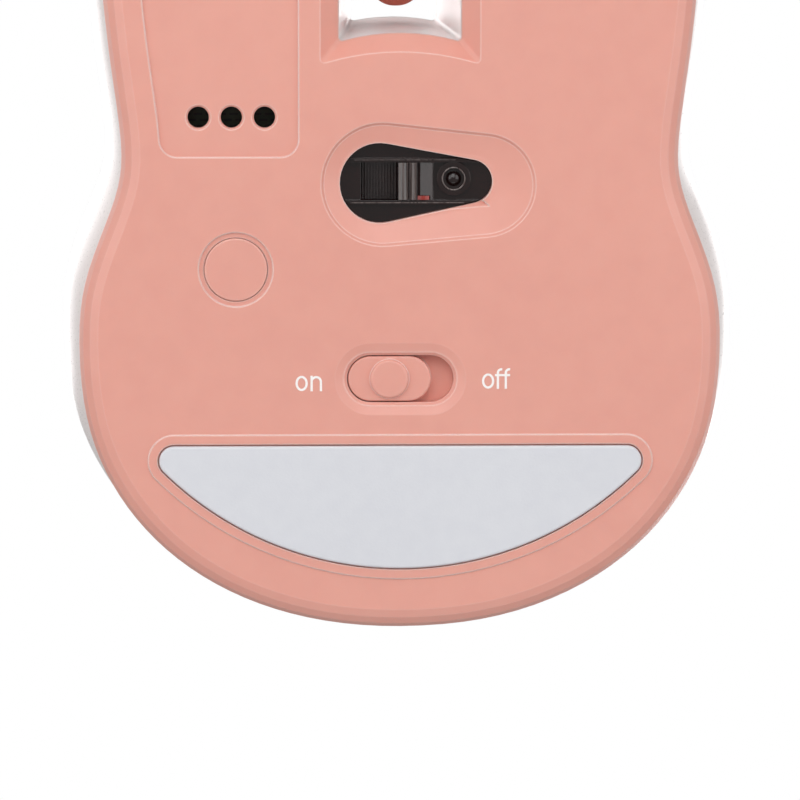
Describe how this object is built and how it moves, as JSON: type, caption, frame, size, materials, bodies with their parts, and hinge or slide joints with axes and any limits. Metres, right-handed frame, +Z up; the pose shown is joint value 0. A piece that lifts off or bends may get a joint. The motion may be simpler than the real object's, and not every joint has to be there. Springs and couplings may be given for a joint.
{
  "type": "cordless optical computer mouse",
  "caption": "Cordless optical computer mouse with a pink figure-8 base, a white arched shell with two keys, a rubber scroll wheel in a through-window and a slide power switch.",
  "frame": {"origin": "under the middle of the bounding box, on the plane its feet stand on", "axes": "+Z up, +Y the button end away from the wrist, +X the mouse's right-hand side"},
  "size_m": [0.0684, 0.1048, 0.0379],
  "materials": {
    "base_pink": "glossy salmon-pink moulded ABS",
    "shell_white": "satin white moulded ABS",
    "liner": "milky translucent plastic",
    "wheel_rubber": "matte terracotta silicone rubber",
    "hub": "pale moulded plastic",
    "steel": "plain steel",
    "ptfe": "waxy pale low-friction plastic",
    "board": "dark green circuit board",
    "black_plastic": "black moulded plastic",
    "lens": "clear moulded optics",
    "lamp": "red clear lamp",
    "cell_wrap": "silver laminate wrap",
    "foam": "black foam tape",
    "lead_red": "red insulated lead",
    "lead_black": "black insulated lead",
    "plunger": "small red plunger",
    "carriage": "pale moulded plastic"
  },
  "bodies": {
    "mouse": {"bottom_case": "base_pink", "palm_cover": "shell_white", "key_pin_left": "steel", "key_pin_right": "steel", "window_liner": "liner", "carriage_spring_rear": "steel", "carriage_spring_front": "steel", "encoder_body": "black_plastic", "main_board": "board", "key_switch_left": "black_plastic", "key_switch_right": "black_plastic", "wheel_switch_body": "black_plastic", "speed_board": "board", "speed_switch_body": "black_plastic", "sensor_lens": "lens", "sensor_chip": "black_plastic", "sensor_lamp": "lamp", "lamp_clip": "black_plastic", "radio_chip": "black_plastic", "crystal": "steel", "charging_port": "steel", "power_switch_body": "steel", "cell": "cell_wrap", "cell_tape": "foam", "cell_lead_red": "lead_red", "cell_lead_black": "lead_black", "rear_foot": "ptfe", "front_foot_left": "ptfe", "front_foot_right": "ptfe", "screw_plug": "base_pink", "case_screw_1": "steel", "case_screw_2": "steel", "case_screw_3": "steel", "case_screw_4": "steel", "board_screw_1": "steel", "board_screw_2": "steel", "board_screw_3": "steel"},
    "left_key": {"key_left": "shell_white"},
    "right_key": {"key_right": "shell_white"},
    "left_plunger": {"key_plunger_left": "plunger"},
    "right_plunger": {"key_plunger_right": "plunger"},
    "carriage": {"wheel_carriage": "carriage"},
    "wheel": {"wheel_tyre": "wheel_rubber", "wheel_hub": "hub", "wheel_axle": "steel", "encoder_rotor": "carriage"},
    "wheel_stem": {"wheel_switch_stem": "plunger"},
    "speed_key": {"speed_button": "shell_white"},
    "speed_stem": {"speed_switch_stem": "plunger"},
    "slider": {"power_slider": "base_pink", "power_switch_lever": "black_plastic"}
  },
  "joints": [
    {"name": "left_key_press", "type": "hinge", "parent": "mouse", "child": "left_key", "pos_m": [-0.01525, -0.003, 0.024], "axis": [-1, 0, 0], "range_deg": [0, 0.8], "stiffness_Nm_per_rad": 1, "springref_deg": -0.8},
    {"name": "right_key_press", "type": "hinge", "parent": "mouse", "child": "right_key", "pos_m": [0.01525, -0.003, 0.024], "axis": [-1, 0, 0], "range_deg": [0, 0.8], "stiffness_Nm_per_rad": 1, "springref_deg": -0.8},
    {"name": "left_plunger_travel", "type": "slide", "parent": "mouse", "child": "left_plunger", "axis": [0, 0, -1], "range_m": [0, 0.00052]},
    {"name": "right_plunger_travel", "type": "slide", "parent": "mouse", "child": "right_plunger", "axis": [0, 0, -1], "range_m": [0, 0.00052]},
    {"name": "wheel_press", "type": "slide", "parent": "mouse", "child": "carriage", "axis": [0, 0, -1], "range_m": [0, 0.0004], "stiffness_N_per_m": 800, "springref_m": -0.001, "deforming": ["carriage_spring_rear", "carriage_spring_front"]},
    {"name": "wheel_spin", "type": "hinge", "parent": "carriage", "child": "wheel", "pos_m": [0, 0.0217, 0.0205], "axis": [1, 0, 0], "continuous": true},
    {"name": "wheel_stem_travel", "type": "slide", "parent": "mouse", "child": "wheel_stem", "axis": [0, 0, -1], "range_m": [0, 0.0004]},
    {"name": "speed_press", "type": "slide", "parent": "mouse", "child": "speed_key", "axis": [0, 0, -1], "range_m": [0, 0.0003], "stiffness_N_per_m": 1200, "springref_m": -0.0008},
    {"name": "speed_stem_travel", "type": "slide", "parent": "mouse", "child": "speed_stem", "axis": [0, 0, -1], "range_m": [0, 0.0003]},
    {"name": "power_slide", "type": "slide", "parent": "mouse", "child": "slider", "axis": [-1, 0, 0], "range_m": [0, 0.0022]}
  ],
  "couplings": [
    {"joint": "left_plunger_travel", "follows": "left_key_press", "m_per_rad": 0.036},
    {"joint": "right_plunger_travel", "follows": "right_key_press", "m_per_rad": 0.036},
    {"joint": "wheel_stem_travel", "follows": "wheel_press", "ratio": 1},
    {"joint": "speed_stem_travel", "follows": "speed_press", "ratio": 1}
  ]
}
